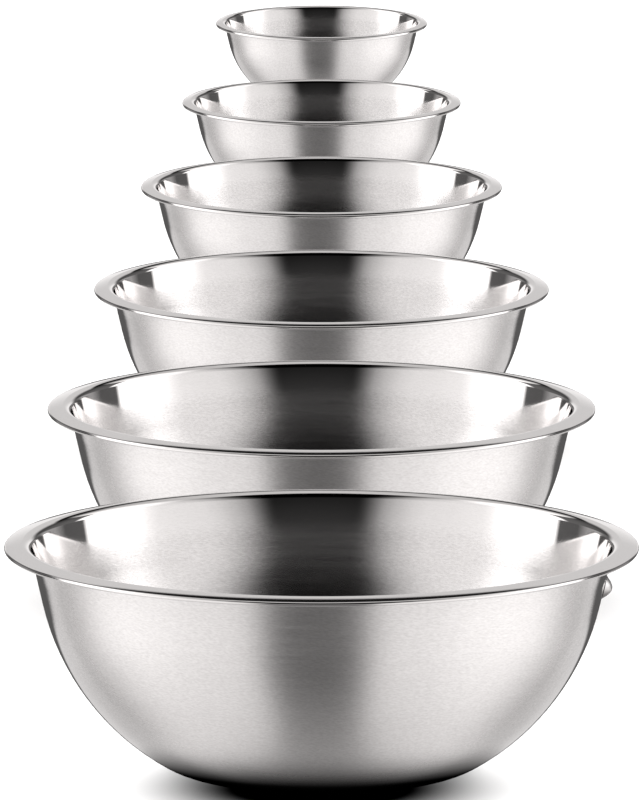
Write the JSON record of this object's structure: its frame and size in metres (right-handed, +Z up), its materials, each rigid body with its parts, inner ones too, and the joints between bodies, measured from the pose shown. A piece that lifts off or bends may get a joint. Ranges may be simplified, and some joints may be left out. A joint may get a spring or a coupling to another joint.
{
  "type": "nesting mixing bowl set",
  "caption": "Round stainless-steel nesting mixing bowls with flat rolled rims, standing in a row from large to small; the largest has a small domed lug at its side.",
  "frame": {"origin": "centre of the largest bowl's base, on the surface it stands on", "axes": "+Z up along the bowls' axes, +Y along the row towards the smallest bowl, +X to the side of the lug"},
  "size_m": [0.336, 2.426, 0.1228],
  "materials": {
    "bowl_steel": "satin brushed outside, bright inside and on the rim",
    "lug_steel": "polished dome, spot-welded"
  },
  "bodies": {
    "largest_bowl": {"largest_bowl": "bowl_steel", "side_lug": "lug_steel"},
    "second_bowl": {"second_bowl": "bowl_steel"},
    "third_bowl": {"third_bowl": "bowl_steel"},
    "fourth_bowl": {"fourth_bowl": "bowl_steel"},
    "fifth_bowl": {"fifth_bowl": "bowl_steel"},
    "smallest_bowl": {"smallest_bowl": "bowl_steel"}
  },
  "joints": [
    {"name": "lift_second_bowl", "type": "slide", "parent": "largest_bowl", "child": "second_bowl", "axis": [0, 0, 1], "range_m": [0, 0.13]},
    {"name": "lift_third_bowl", "type": "slide", "parent": "largest_bowl", "child": "third_bowl", "axis": [0, 0, 1], "range_m": [0, 0.13]},
    {"name": "lift_fourth_bowl", "type": "slide", "parent": "largest_bowl", "child": "fourth_bowl", "axis": [0, 0, 1], "range_m": [0, 0.13]},
    {"name": "lift_fifth_bowl", "type": "slide", "parent": "largest_bowl", "child": "fifth_bowl", "axis": [0, 0, 1], "range_m": [0, 0.13]},
    {"name": "lift_smallest_bowl", "type": "slide", "parent": "largest_bowl", "child": "smallest_bowl", "axis": [0, 0, 1], "range_m": [0, 0.13]}
  ]
}
